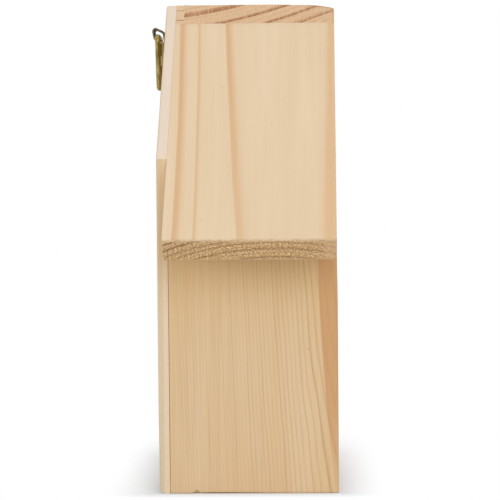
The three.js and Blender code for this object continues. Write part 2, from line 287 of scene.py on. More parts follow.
def addFloor():
    far = studio["floorReach"]
    tone = studio["floorTone"]
    mesh = bpy.data.meshes.new("floor")
    mesh.from_pydata([(-far, -far, 0), (far, -far, 0), (far, far, 0), (-far, far, 0)], [], [(0, 1, 2, 3)])
    floor = bpy.data.objects.new("floor", mesh)
    bpy.context.scene.collection.objects.link(floor)
    paper = Finish("whitePaper")

    # how far a spot lies out on one side of the house, as a share of the shade's reach there
    def beyond(node, way, side):
        start, length = studio[side]
        out = paper.coordinate(way, reach(node, way) + start)
        return paper.greater(paper.over(out, length), 0.0)

    # what is left of the shade on one side, where it fades along X
    def faded(side, onSide):
        start, end, share = studio[side]
        lost = paper.spread(paper.coordinate((1, 0, 0)), start, end, 0, share)
        return paper.less(1.0, paper.times(lost, paper.spread(onSide, 0, studio["sideEdge"])))

    front = beyond("left_wall", (0, -1, 0), "frontShade")
    back = beyond("back_panel", (0, 1, 0), "backShade")
    awayX = paper.plus(beyond("left_wall", (-1, 0, 0), "nearShade"),
                       beyond("right_wall", (1, 0, 0), "farShade"))
    away = paper.vector("LENGTH", paper.join(awayX, paper.plus(front, back), 0.0))
    near = paper.less(1.0, paper.reckon("MINIMUM", away, 1.0))
    near = paper.times(paper.reckon("POWER", near, studio["shadowFall"]), faded("frontFade", front))
    # painted shade: the floor's tone is darkened in front of and behind the house
    deep = paper.times(faded("frontPaintedShade", front), faded("backPaintedShade", back))
    paintedShadeToned = paper.mix(1.0, (*studio["shadowTone"], 1), paper.join(deep, deep, deep), "MULTIPLY")
    plain = paper.add("BsdfDiffuse", {"Color": (tone, tone, tone, 1)}).outputs[0]
    shaded = paper.add("BsdfDiffuse", {"Color": paintedShadeToned}).outputs[0]
    white = paper.add("Emission", {"Strength": 1}).outputs[0]
    seen = paper.add("MixShader", {0: near, 1: white, 2: shaded}).outputs[0]
    choice = paper.add("MixShader", {0: seenRays(paper), 1: plain, 2: seen}).outputs[0]
    paper.add("OutputMaterial", {0: choice})
    mesh.materials.append(paper.owner)


def addLamps():
    middle = (frameBox[0] + frameBox[1]) / 2
    for lamp in studio["lamps"]:
        data = bpy.data.lights.new(lamp["name"], "AREA")
        data.size = lamp["size"]
        data.energy = lamp["power"]
        made = bpy.data.objects.new(lamp["name"], data)
        made.location = lamp["place"]
        made.rotation_euler = (middle - made.location).to_track_quat("-Z", "Y").to_euler()
        bpy.context.scene.collection.objects.link(made)


bpy.context.scene.view_settings.view_transform = "Standard"
addCamera()
addSky()
addFloor()
addLamps()
print("camera, background and light made")


# What the pieces share
def meshOf(name, points, faces):
    mesh = bpy.data.meshes.new(name)
    mesh.from_pydata([Vector(point) * mm for point in points], [], faces)
    mesh.validate()
    return mesh


# A piece that takes the place of a node; edges that turn by more than sharp degrees stay sharp
def addPiece(name, mesh, finish, node, sharp=40):
    piece = bpy.data.objects.new(name, mesh)
    bpy.context.scene.collection.objects.link(piece)
    mesh.materials.clear()
    mesh.materials.append(finish)
    mesh.shade_smooth()
    mesh.set_sharp_from_angle(angle=math.radians(sharp))
    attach(piece, frame["nodes"][node]["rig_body"])
    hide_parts(node)
    return piece


# A profile of radius and height turned about the vertical axis
def turned(profile, turns):
    points = []
    rows = []
    for radius, height in profile:
        count = turns if radius > 0 else 1
        rows.append(range(len(points), len(points) + count))
        for k in range(count):
            angle = 2 * math.pi * k / turns
            points.append(Vector((radius * math.cos(angle), radius * math.sin(angle), height)))
    return points, stitched(rows, turns)


# Faces between rows of a closed ring of points; a row of one point is a pole
def stitched(rows, turns):
    faces = []
    for lower, upper in zip(rows, rows[1:]):
        for k in range(turns):
            after = (k + 1) % turns
            if len(lower) == 1:
                faces.append((lower[0], upper[after], upper[k]))
            elif len(upper) == 1:
                faces.append((lower[k], lower[after], upper[0]))
            else:
                faces.append((lower[k], lower[after], upper[after], upper[k]))
    return faces


# The mesh of one piece with others cut out of it
def carved(mesh, cutters):
    body = bpy.data.objects.new("body", mesh)
    bpy.context.scene.collection.objects.link(body)
    spare = [body]
    for cutter in cutters:
        tool = bpy.data.objects.new("tool", cutter)
        bpy.context.scene.collection.objects.link(tool)
        spare.append(tool)
        cut = body.modifiers.new("cut", "BOOLEAN")
        cut.operation = "DIFFERENCE"
        cut.solver = "EXACT"
        cut.object = tool
    view = bpy.context.evaluated_depsgraph_get()
    made = bpy.data.meshes.new_from_object(body.evaluated_get(view))
    for part in spare:
        bpy.data.objects.remove(part)
    return made


# Pine boards. Each has axes of its own: along the grain, across (+Y), and under its outer face.
# What a board has where it says nothing else
plainBoard = {
    "slot": "wall_pine",
    "stretch": (0, 0),  # added at the two ends
    "cuts": (2.5, 1.2, 1.2),  # size of the grid on each axis
    "closer": ((), (), ()),  # runs of closer cuts on each axis: from, to and step
    "planed": 0,  # taken off the front edge
    "lean": (0, 0),  # how far the middle of the tree wanders in each millimetre along
    "rings": [],  # radius, width and strength of broad late wood, and how dark its soft side is
    "stripes": [],
    "streaks": 1,  # how strong the fibres and streaks are
    "sawnEarly": (214, 180, 136),
    "sawnLate": (160, 116, 72),
    "hatch": 0.4,  # how far the rings of the cut ends break up into strokes
    "torn": 0.3,  # how torn the cut ends are, which also scales their painted highlight and painted shade
    "endTurn": (0.55, 0.8),  # how squarely a cut end faces before it takes its own colour
}
boards = {
    "leftRoofBoard": {
        "node": "left_roof_board",
        "slot": "roof_pine",
        "out": (-slope, 0, slope),
        "ease": [(0.12, 0.5), (0.9, 0.06), (0.9, 0.9)],  # round of the edges, at both ends of each axis
        "stretch": (0.25, -0.36),  # closes the glue line at the ridge
        "sawn": (0.02, 0.3),  # roughness of the two cut ends
        "cuts": (2.5, 0.5, 0.5),
        "pith": (-9, 79),  # middle of the tree, across and under
        "rings": [(70.1, 0.7, 0.85), (74.7, 0.6, 0.85), (77.9, 0.5, 0.75), (80.1, 0.6, 0.6), (83.2, 0.8, 1),
                  (86, 0.9, 1)],
        # dark bands of the face: place of the sharp side at the top, middle and eave, then the width
        # and the strength, each at the top and at the eave
        "stripes": [((29.2, 27.9, 27.8), (3.9, 3.9), (0.9, 0.85)),
                    ((22.1, 20.8, 20.3), (1.9, 2.1), (0.65, 0.6)),
                    ((11.7, 8.6, 4.9), (3.9, 5.4), (0.95, 0.6))],
        "gap": 1.7,  # between the fine year rings
        "fineStrength": 0.1,  # how dark they are on the face
        "fineEnds": 0.3,  # and on the cut ends
        "wander": 0.25,  # how far the grain strays
        "early": (232, 208, 175),  # the face has this tone with honey in patches, and late in its rings
        "honey": (229, 203, 168),
        "late": (217, 174, 128),
        "streaks": 0.3,
        "sawnEarly": (217, 176, 121),
        "sawnLate": (122, 82, 46),
        "hatch": 0.25,
        "endTurn": (0.72, 0.97),
        # the cut end's tones along its outer and inner edges, and how far in they reach
        "paleEdges": {"outerTone": (230, 202, 165), "outer": 2, "innerTone": (212, 174, 124), "inner": 1.8,
                      "share": 0.75},
        "planed": 0.36,
        "heart": {"tone": (222, 184, 141), "from": -26.9, "to": -29.3, "slant": -0.02, "share": 0.85},
        "torn": 0.85,
        "seed": 3,
    },
    "rightRoofBoard": {
        "node": "right_roof_board",
        "slot": "roof_pine",
        "out": (slope, 0, slope),
        "ease": [(0.5, 0.35), (0.9, 0.06), (0.9, 0.9)],
        "stretch": (-0.36, 0),
        "sawn": (0.3, 0.03),
        "cuts": (2.5, 0.5, 0.5),
        "pith": (56, -132),
        "rings": [(135.6, 1.5, 1), (142.3, 2.8, 0.74, 0.85), (149.6, 1.6, 1, 0.65), (155.6, 1.4, 1, 0.65),
                  (159.7, 0.5, 0.7), (161.1, 1.4, 0.9, 0.55)],
        "gap": 2.1,
        "fineStrength": 0.1,
        "fineEnds": 0.12,
        "wander": 0.15,
        "early": (233, 208, 177),
        "honey": (230, 199, 158),
        "late": (206, 152, 100),
        "streaks": 0.8,
        "sawnEarly": (226, 191, 152),
        "sawnLate": (156, 92, 46),
        "hatch": 0.45,
        # deeper colour under the upper edge of the cut end, from and to across
        "rim": {"from": -18, "to": -23, "deep": 1, "fall": 0.1, "share": 0.85, "tone": (178, 124, 82)},
        "planed": 0.36,
        "heart": {"tone": (196, 140, 92), "from": -29.4, "to": -31, "slant": 0, "share": 0.8},
        "torn": 0.1,
        # a plug let into the back corner, marked at two depths under the face
        "plug": {"from": 27.7, "joint": 0.15, "tone": (228, 200, 166), "marks": (3.3, 9)},
        "seed": 17,
    },
    "leftWall": {
        "node": "left_wall",
        "out": (-1, 0, 0),
        "top": (-slope, 0, slope),  # direction of the sawn top
        "ease": [(0.3, 0.25), (0.9, 0.4), (0.9, 0.9)],
        "stretch": (0.38, 0),
        "sawn": (0.02, 0.06),
        "cuts": (2.0, 0.9, 0.9),
        "closer": ([(-3, -0.6, 0.3)], [(19, 24, 0.3)], [(0.9, 2.4, 0.3)]),  # round the splinter
        "pith": (-41, 36),
        "lean": (0.004, -0.044),
        "gap": 1.0,
        "fineStrength": 0.75,
        "fineEnds": 0.75,
        "wander": 0.5,
        "early": (225, 197, 159),
        "honey": (222, 191, 149),
        "late": (188, 143, 92),
        "streaks": 0.7,
        "paintedEaveShade": {"tone": (217, 183, 128), "reach": 75},  # painted shade under the eave: deeper in colour towards the top
        "calm": (22, -18, 0.4, 1),  # from and to across, and how strong the rings show at each
        # bow bends the heartwood's line about bowFrom along the grain; fade is from and to along the grain,
        # and the share of its tone that is left
        "heart": {"tone": (204, 154, 104), "from": -20.35, "to": -20.95, "slant": 0.07, "share": 0.8,
                  "bow": 0.00057, "bowFrom": 73, "fade": (80, 112, 0.4)},
        "seed": 29,
    },
    "rightWall": {
        "node": "right_wall",
        "out": (1, 0, 0),
        "top": (slope, 0, slope),
        "ease": [(0.6, 0.3), (0.9, 0.8), (0.9, 0.9)],
        "stretch": (0, 0.38),
        "sawn": (0.06, 0.02),
        "pith": (14, 38),
        "lean": (0.02, 0.01),
        "gap": 2.3,
        "fineStrength": 0.8,
        "fineEnds": 0.8,
        "wander": 1.0,
        "early": (226, 196, 154),
        "honey": (222, 189, 142),
        "late": (198, 150, 102),
        "seed": 41,
    },
    "floorBoard": {
        "node": "floor_board",
        "out": (0, 0, 1),
        "ease": [(0.3, 0.3), (0.9, 0.8), (0.9, 0.9)],
        "sawn": (0.02, 0.02),
        "pith": (8, 26),
        "lean": (0.03, 0),
        "gap": 2.0,
        "fineStrength": 0.8,
        "fineEnds": 0.8,
        "wander": 0.9,
        "early": (226, 196, 154),
        "honey": (221, 187, 141),
        "late": (196, 150, 102),
        "seed": 53,
    },
}


# Places of a board's own axes in the shared frame, read from the node
def spaceOf(board):
    out = Vector(board["out"])
    along = Vector((0, 1, 0)).cross(-out)
    return {
        "out": out,
        "along": along,
        "outer": reach(board["node"], out),
        "thick": reach(board["node"], out) + reach(board["node"], -out),
        "start": -reach(board["node"], -along),
        "finish": reach(board["node"], along),
    }


# Cuts across one axis: close together in the rounded edges, even between them
def axisCuts(low, high, ease, step, closer):
    easeLow, easeHigh = ease
    turns = 4
    closest = 0.15  # of the smaller rounding
    rounding = [math.tan(math.pi / 4 * k / turns) for k in range(turns, -1, -1)]
    inner = high - easeHigh - low - easeLow
    count = max(2, round(inner / step))
    cuts = [low + easeLow * (1 - share) for share in rounding]
    cuts += [low + easeLow + inner * k / count for k in range(1, count)]
    cuts += [high - easeHigh * (1 - share) for share in rounding]
    for start, end, gap in closer:
        cuts += [start + gap * k for k in range(round((end - start) / gap))]
    least = min(easeLow, easeHigh) * closest
    kept = []
    for cut in sorted(cuts):
        if not kept or cut - kept[-1] > least:
            kept.append(cut)
    kept[-1] = high
    return kept


# A board as a grid over its six faces: its points, how far each faces along every axis, and the faces
def gridShell(cuts, ease):
    index = {}
    points = []
    pulls = []

    def cornerAt(key):
        if key in index:
            return index[key]
        core = []
        pull = []
        for axis in range(3):
            at = cuts[axis][key[axis]]
            easeLow, easeHigh = ease[axis]
            core.append(min(max(at, cuts[axis][0] + easeLow), cuts[axis][-1] - easeHigh))
            off = at - core[axis]
            pull.append(off / (easeLow if off < 0 else easeHigh))
        length = math.hypot(*pull)
        pull = [part / length for part in pull]
        point = [core[axis] + pull[axis] * ease[axis][pull[axis] > 0] for axis in range(3)]
        index[key] = len(points)
        points.append(point)
        pulls.append(pull)
        return index[key]

    faces = []
    for axis in range(3):
        first, second = [other for other in range(3) if other != axis]
        for end in (0, len(cuts[axis]) - 1):
            for i in range(len(cuts[first]) - 1):
                for j in range(len(cuts[second]) - 1):
                    ring = []
                    for stepFirst, stepSecond in ((0, 0), (1, 0), (1, 1), (0, 1)):
                        key = [end, end, end]
                        key[first] = i + stepFirst
                        key[second] = j + stepSecond
                        ring.append(cornerAt(tuple(key)))
                    faces.append(ring if (end > 0) == (axis != 1) else ring[::-1])
    return points, pulls, faces


def clamped(value):
    return min(max(value, 0), 1)


# Splinter torn from the foot of the near wall; its depth is partly even and partly rough, by noise
chip = {"across": 21.3, "radius": 1.35, "deep": 0.75, "even": 0.7, "rough": 0.5, "grit": 2.2}
# The same foot, left short between the splinter and the front
shortFoot = {"short": 0.2, "from": -12, "span": 22, "blend": 3, "rise": 3}


def wornFoot(point):
    along, across, under = point
    off = math.hypot(across - chip["across"], along, under) / chip["radius"]
    if off < 1:
        grit = chip["even"] + chip["rough"] * noise.noise(Vector(point) * chip["grit"])
        bite = chip["deep"] * (1 - off * off) * grit
        point[0] -= bite
        point[2] += bite
    ahead = clamped((chip["across"] - across) / shortFoot["blend"])
    ahead *= clamped((across - shortFoot["from"]) / shortFoot["span"])
    if along > -shortFoot["rise"]:
        point[0] -= shortFoot["short"] * ahead * (1 + along / shortFoot["rise"])


# Front of the near wall, planed off more and more between two heights, up to the roof board
wallTop = {"from": 70, "to": 88, "planed": 0.3, "reach": 20}


def planedTop(point):
    along, across, under = point
    climbed = clamped((-along - wallTop["from"]) / (wallTop["to"] - wallTop["from"]))
    point[1] += wallTop["planed"] * climbed * clamped(-across / wallTop["reach"])


# Front corner of the ridge, sanded rounder than the rest, with a slight dip behind it
ridgeWear = {"from": -19, "span": 12, "drop": 1.5, "curve": 1.8, "reach": 9,
             "dipFrom": -7, "dipSpan": 10, "dip": 0.32}


def wornRidge(point, space):
    along, across, under = point
    ahead = clamped((ridgeWear["from"] - across) / ridgeWear["span"])
    near = 1 - min(math.hypot(space["finish"] - along, under) / ridgeWear["reach"], 1)
    dipping = clamped((ridgeWear["dipFrom"] - across) / ridgeWear["dipSpan"])
    drop = (ridgeWear["drop"] * ahead ** ridgeWear["curve"] + ridgeWear["dip"] * dipping) * near * slope
    point[0] -= drop
    point[2] += drop


# Grit of the sawn ends: how squarely a spot faces, the scales across and under, and how deep it is
sawing = {"turned": 0.3, "across": 0.55, "under": 0.8, "even": 0.5, "rough": 0.7, "most": 1.4,
          "octaves": 4, "endSeed": 7}


def roughened(point, pull, board):
    along, across, under = point
    for end, side in ((0, -1), (1, 1)):
        if pull[0] * side > sawing["turned"] and board["sawn"][end] > 0:
            seed = board["seed"] + sawing["endSeed"] * end
            spot = Vector((across * sawing["across"], under * sawing["under"], seed))
            grit = sawing["even"] + sawing["rough"] * noise.fractal(spot, 1.0, 2.0, sawing["octaves"])
            point[0] -= side * board["sawn"][end] * min(max(grit, 0), sawing["most"])


def boardMesh(name, board, space):
    start = space["start"] - board["stretch"][0]
    finish = space["finish"] + board["stretch"][1]
    slant = 0
    if "top" in board:  # the wall's length is its outer face's; its top climbs inwards at 45 degrees
        level = reach(board["node"], board["top"]) / slope - space["outer"]
        if board["out"][0] < 0:
            start = -level - board["stretch"][0]
            slant = 1 / start
        else:
            finish = level + board["stretch"][1]
            slant = 1 / finish
    front = board["planed"] - reach(board["node"], (0, -1, 0))
    ends = [(start, finish), (front, reach(board["node"], (0, 1, 0))), (0, space["thick"])]
    cuts = [axisCuts(*ends[axis], board["ease"][axis], board["cuts"][axis], board["closer"][axis])
            for axis in range(3)]
    points, pulls, faces = gridShell(cuts, board["ease"])
    placed = []
    for point, pull in zip(points, pulls):
        roughened(point, pull, board)
        if name == "leftWall":
            wornFoot(point)
            planedTop(point)
        if name == "rightRoofBoard":
            wornRidge(point, space)
        along, across, under = point
        along += along * abs(slant) * under
        spot = space["along"] * along + space["out"] * (space["outer"] - under)
        placed.append((spot.x, across, spot.z))
    return meshOf(name, placed, faces)


# The pine of every board
pine = {
    "seedStep": 200,  # how far apart along the grain the boards are cut from the tree
    # noises: how often they come in a millimetre along, across and under, then detail and roughness
    "drift": ((0.012, 0.045, 0.045), 2, 0.5),
    "seasons": ((0.006, 0.03, 0.03), 1, 0.5),
    "patches": ((0.008, 0.09, 0.09), 2, 0.5),
    "fibres": ((0.035, 1.7, 1.7), 5, 0.65),
    "streaks": ((0.012, 0.5, 0.5), 3, 0.6),
    "hatch": ((0.3, 1.7, 0.2), 2, 0.6),
    "flecks": ((1.3, 1.3, 1.3), 4, 0.7),
    "torn": ((1.35, 1.35, 1.35), 2, 0.65),
    # ranges: from and to, then the share at each where that isn't 0 and 1
    "patchRange": (0.35, 0.65),
    "fibreRange": (0.45, 0.75, 0, 0.35),
    "streakRange": (0.45, 0.7, 0, 0.3),
    "fleckRange": (0.35, 0.65, 0, 0.3),
    "fibreHighlightRange": (0.53, 0.58),
    "pitShadeRange": (0.46, 0.41),
    "hatchRange": (0.38, 0.6),
    "markRange": (0.5, 0.15),
    "markWear": (0.4, 0.55, 0.15, 0.65),
    "roughness": (0.3, 0.7, 0.62, 0.78),
    "specks": {
        "often": (0.16, 0.55, 0.55),
        "scale": 0.42,
        "range": (0.05, 0.02, 0, 0.4),
        "tone": (150, 104, 62),
    },
    "driftReach": 4,  # of a board that wanders by 1
    # how far along the noise each use of the drift reads it
    "driftShifts": {"across": 0, "under": 9, "stripe": 20, "heart": 4, "plug": 30},
    "seasonDrift": 0.8,
    "vigour": 0.8,  # how much the years differ
    # late wood over one year, and a dark band of the face from its soft side to its sharp one
    "year": [(0, 0.3), (0.06, 0), (0.55, 0), (0.8, 0.35), (0.92, 1), (1, 0.3)],
    "band": [(0, 0), (0.2, 0.15), (0.4, 0.45), (0.6, 0.85), (0.75, 1), (0.93, 0.8), (1, 0)],
    "bandDrift": 0.4,
    # a broad ring: how dark its soft side is and where, how far its sharp side reaches, and the room beyond
    "ringBody": 0.45,
    "ringBodyAt": 0.6,
    "ringEdge": (-0.08, 0.1),
    "ringRoom": 3,
    "wornTone": (0.8, 0.74, 0.66, 1),  # what the fibres and streaks multiply the face by
    # cut ends: share of the late tone in the painted shade of the pits, of cream in the painted highlight of
    # the torn fibres, and how much each shows
    "pitShadeTone": 0.6,
    "pitShadeShare": 0.8,
    "highlightCream": (252, 228, 192),
    "fibreHighlightTone": 0.8,
    "fibreHighlightShare": 0.9,
    "ringPower": 0.6,  # below 1 the fainter rings show more
    "plugShare": 0.5,
    "heartShare": 0.5,
    # heights of the relief, and its depth
    "fibreHeight": 0.5,
    "lateHeight": -0.3,
    "endHeight": 0.2,
    "tornHeight": 2.5,
    "relief": 0.09,
}


# Pine as nodes, in a board's own axes
class Pine(Finish):
    def __init__(self, name, board, space):
        super().__init__(name)
        self.board = board
        self.space = space
        self.grain = self.coordinate(space["along"], space["start"])
        self.across = self.coordinate((0, 1, 0))
        self.under = self.coordinate(-space["out"], -space["outer"])
        cut = self.plus(self.grain, pine["seedStep"] * board["seed"])
        self.spot = self.join(cut, self.across, self.under)
        self.fibres = self.figure("fibres")
        self.flecks = self.figure("flecks")

    def figure(self, name, shift=0):
        return self.clouds(self.spot, pine[name], shift)

    # how far the grain wanders off, either way
    def drift(self, use):
        span = pine["driftReach"] * self.board["wander"]
        return self.scaled(self.figure("drift", pine["driftShifts"][use]), span, -span / 2)

    # late wood on the faces and on the cut ends, from the distance to the middle of the tree
    def lateWood(self):
        board = self.board
        fromPith = []
        for k, (place, use) in enumerate(((self.across, "across"), (self.under, "under"))):
            leaning = self.scaled(self.grain, board["lean"][k], self.less(place, board["pith"][k]))
            fromPith.append(self.plus(leaning, self.drift(use)))
        radius = self.vector("LENGTH", self.join(*fromPith, 0))
        years = self.scaled(self.figure("seasons"), pine["seasonDrift"], self.over(radius, board["gap"]))
        thisYear = {"W": self.reckon("FLOOR", years)}
        vigour = self.add("TexWhiteNoise", thisYear, noise_dimensions="1D").outputs["Value"]
        fine = self.ramp(self.reckon("FRACT", years), pine["year"])
        fine = self.times(fine, self.scaled(vigour, pine["vigour"], 1 - pine["vigour"]))
        late = self.times(fine, board["fineStrength"])
        if "calm" in board:
            late = self.times(late, self.spread(self.across, *board["calm"]))
        lateEnds = self.times(fine, board["fineEnds"])
        if board["rings"]:
            broad = self.broadRings(radius)
            lateEnds = self.greater(lateEnds, broad)
            late = late if board["stripes"] else self.greater(late, broad)
        for stripe in board["stripes"]:
            late = self.greater(late, self.stripe(*stripe))
        return late, lateEnds

    def broadRings(self, radius):
        rings = self.board["rings"]
        low = rings[0][0] - pine["ringRoom"]
        high = rings[-1][0] + pine["ringRoom"]
        inner, outer = pine["ringEdge"]
        stops = [(0, 0)]
        for at, width, strength, *body in rings:
            middle = body[0] if body else pine["ringBody"]
            soft = at - width * pine["ringBodyAt"]
            for where, share in ((at - width, 0), (soft, middle), (at + inner, 1), (at + outer, 0)):
                stops.append(((where - low) / (high - low), strength * share))
        stops.append((1, 0))
        return self.ramp(self.over(self.less(radius, low), high - low), stops)

    # a dark band whose sharp side runs through three places: at the ridge, halfway and at the eave
    def stripe(self, places, widths, strengths):
        top, middle, eave = places
        length = self.space["finish"] - self.space["start"]
        width, strength = (self.scaled(self.grain, (last - first) / length, first)
                           for first, last in (widths, strengths))
        bow = 2 * (top + eave - 2 * middle) / length ** 2
        fall = (4 * middle - 3 * top - eave) / length
        line = self.scaled(self.grain, self.scaled(self.grain, bow, fall), top)
        wavy = self.scaled(self.drift("stripe"), pine["bandDrift"], self.across)
        off = self.over(self.less(wavy, line), width)
        return self.times(self.ramp(self.plus(off, 1), pine["band"]), strength)

    # 1 beyond the line where the heartwood starts
    def heartwood(self):
        heart = self.board["heart"]
        line = self.plus(self.across, self.drift("heart"))
        if "bow" in heart:
            fromBow = self.less(self.grain, heart["bowFrom"])
            line = self.scaled(self.times(fromBow, fromBow), heart["bow"], line)
        zone = self.spread(self.scaled(self.grain, heart["slant"], line), heart["from"], heart["to"])
        if "fade" in heart:
            start, end, left = heart["fade"]
            zone = self.times(zone, self.spread(self.grain, start, end, 1, left))
        return zone

    def planedFace(self, late, zone):
        board = self.board
        patches = self.spread(self.figure("patches"), *pine["patchRange"])
        face = self.mix(patches, board["early"], board["honey"])
        # painted shade under the eave: the wall's colour deepens towards its top
        if "paintedEaveShade" in board:
            paintedEaveShade = board["paintedEaveShade"]
            face = self.mix(self.spread(self.grain, paintedEaveShade["reach"], 0), face, paintedEaveShade["tone"])
        if "heart" in board:
            face = self.mix(self.times(zone, board["heart"]["share"]), face, board["heart"]["tone"])
        face = self.mix(late, face, board["late"])
        darker = self.mix(1, face, pine["wornTone"], "MULTIPLY")
        worn = self.plus(self.spread(self.fibres, *pine["fibreRange"]),
                         self.spread(self.figure("streaks"), *pine["streakRange"]))
        face = self.mix(self.times(worn, board["streaks"]), face, darker)
        specks = pine["specks"]
        spot = self.vector("MULTIPLY", self.spot, specks["often"])
        return self.mix(self.spread(self.dots(spot, specks["scale"]), *specks["range"]), face, specks["tone"])

    # darker than the face, with the rings standing out, a painted highlight where torn fibres catch the light
    # and painted shade in their pits
    def sawnEnds(self, lateEnds, zone):
        board = self.board
        early, late = board["sawnEarly"], board["sawnLate"]
        torn = self.figure("torn")
        # painted highlight on the torn fibres, and painted shade in the pits between them
        light = self.times(self.spread(torn, *pine["fibreHighlightRange"]), board["torn"])
        pitShade = self.times(self.spread(torn, *pine["pitShadeRange"]), board["torn"])
        brown = self.mix(pine["pitShadeTone"], early, late)
        highlightCream = self.mix(pine["fibreHighlightTone"], early, pine["highlightCream"])
        tone = self.mix(self.spread(self.flecks, *pine["fleckRange"]), early, brown)
        tone = self.mix(self.times(pitShade, pine["pitShadeShare"]), tone, brown)
        tone = self.mix(self.times(light, pine["fibreHighlightShare"]), tone, highlightCream)
        strokes = self.spread(self.figure("hatch"), *pine["hatchRange"])
        strokes = self.scaled(strokes, board["hatch"], 1 - board["hatch"])
        rings = self.times(self.reckon("POWER", lateEnds, pine["ringPower"]), strokes)
        if "plug" in board:
            tone, rings = self.plugged(tone, rings, torn)
        tone = self.mix(rings, tone, late)
        if "heart" in board:
            tone = self.mix(self.times(zone, pine["heartShare"]), tone, board["heart"]["tone"])
        if "rim" in board:
            rim = board["rim"]
            edge = self.scaled(self.less(self.across, rim["from"]), rim["fall"], self.under)
            edge = self.spread(edge, rim["deep"], 0.5 * rim["deep"])
            edge = self.times(edge, self.spread(self.across, rim["from"], rim["to"], 0, rim["share"]))
            tone = self.mix(edge, tone, rim["tone"])
        if "paleEdges" in board:
            pale = board["paleEdges"]
            thick = self.space["thick"]
            outer = self.spread(self.under, pale["outer"], 0, 0, pale["share"])
            inner = self.spread(self.under, thick - pale["inner"], thick, 0, pale["share"])
            tone = self.mix(outer, tone, pale["outerTone"])
            tone = self.mix(inner, tone, pale["innerTone"])
        return tone

    # a cut end with a plug of another board in it, which has no rings and some marks of its own
    def plugged(self, tone, rings, torn):
        plug = self.board["plug"]
        inside = self.spread(self.across, plug["from"], plug["from"] + plug["joint"])
        rings = self.times(rings, self.less(1, inside))
        tone = self.mix(self.times(inside, pine["plugShare"]), tone, plug["tone"])
        for level in plug["marks"]:
            off = self.reckon("ABSOLUTE", self.plus(self.less(self.under, level), self.drift("plug")))
            mark = self.times(self.spread(off, *pine["markRange"]), inside)
            mark = self.times(mark, self.spread(torn, *pine["markWear"]))
            tone = self.mix(mark, tone, self.board["sawnLate"])
        return tone, rings


def pineFinish(name, board, space):
    wood = Pine(name, board, space)
    late, lateEnds = wood.lateWood()
    zone = wood.heartwood() if "heart" in board else None
    ends = wood.spread(wood.facing(space["along"]), *board["endTurn"])
    colour = wood.mix(ends, wood.planedFace(late, zone), wood.sawnEnds(lateEnds, zone))
    height = wood.scaled(wood.fibres, pine["fibreHeight"], wood.times(late, pine["lateHeight"]))
    endHeight = pine["endHeight"] + pine["tornHeight"] * board["torn"]
    height = wood.scaled(wood.times(wood.flecks, ends), endHeight, height)
    roughness = wood.spread(wood.fibres, *pine["roughness"])
    return wood.surface(colour, roughness, wood.relief(height, pine["relief"]), Specular_IOR_Level=0.3)


for name, values in boards.items():
    board = {**plainBoard, **values}
    space = spaceOf(board)
    finish = pineFinish(name + "Pine", board, space)
    addPiece(name, boardMesh(name, board, space), finish, board["node"])
    print("made", name)


# Ply panel behind the boards, with a countersunk seat for each pin
panel = {
    "node": "back_panel",
    "slot": "panel_ply",
    "ease": 0.2,
    "backEase": 0.9,  # round of the back edges
    "footEase": 1.8,  # and of the one along the foot
    "footLean": 0.28,  # how far the foot leans in, from this height down
    "footRise": 32,
    "easeTurns": 3,
    "lowered": 0.2,
    "seatRadius": 1.8,
    "seatDepth": 0.7,
    "seatFlare": 0.35,
    "plies": [(0.4, 1.0), (2.1, 0.0), (2.5, 0.55)],  # depth from the back and paleness of each layer's edge
    "edgePale": (238, 216, 186),
    "edgeDark": (219, 197, 166),
    "eaveShadeEdgeTone": (220, 190, 142),  # painted shade: deeper colour of the upright edge below the eaves
    "slopeLitTone": (235, 218, 201),
    "facePale": (231, 209, 176),
    "faceDeep": (214, 181, 136),
    "eaveShadeRise": (60, 95, 0, 0.6),  # heights between which the painted shade deepens the edge, and its share at each
    # noises: how often they come in a millimetre across, through and up, then detail and roughness
    "pores": ((0.6, 2, 0.6), 4, 0.65),
    "sheet": ((0.05, 1, 0.008), 2, 0.45),
    "fibres": ((1.5, 1, 0.04), 5, 0.65),
    "patches": ((0.05, 1, 0.01), 2, 0.5),
    "plyJoint": 0.015,  # half the width of the line between two layers, as a share of the panel
    "poreShade": 0.9,
    "slopeLitTurn": (0.3, 0.6, 0, 0.85),  # how squarely the edge faces up, and its share of the painted light of the sloping edge
    "faceTurn": (0.5, 0.8),  # how squarely the panel faces the back before it is veneer
    "veneerRings": 13,
    "year": [(0, 0.2), (0.1, 0), (0.55, 0.1), (0.9, 1), (1, 0.2)],
    "ringShare": 0.55,
    "fibreRange": (0.4, 0.8, 0, 0.4),
    "patchRange": (0.35, 0.65, 0, 0.2),
    "poreHeight": 0.6,
    "relief": 0.06,
    "roughness": (0.3, 0.7, 0.6, 0.76),
}
pinHeads = {
    "turns": 28,
    "dish": 0.08,
    "dishReach": 0.5,  # of the head's radius
    "rim": 0.25,
    "rimEase": 0.07,
    "head": 0.6,
    "shank": 0.7,
    "tip": 1.5,
    "dark": (150, 149, 145),
    "bright": (188, 187, 182),
    "scratches": ((900, 900, 900), 3, 0.6),  # how often in a metre, detail and roughness
    "roughness": (0.3, 0.7, 0.28, 0.42),
}
pinNodes = sorted(node for node in frame["nodes"] if node.startswith("panel_pin"))
panelBack = reach("back_panel", (0, 1, 0))
panelFront = -reach("back_panel", (0, -1, 0))


def boxOf(node):
    low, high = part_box(node)
    return low / mm, high / mm


# Points drawn about an upright axis, laid towards the back of the house on the middle of a node
def backwards(points, node):
    low, high = boxOf(node)
    x, z = (low.x + high.x) / 2, (low.z + high.z) / 2
    return [(x + point[0], point[2], z - point[1]) for point in points]


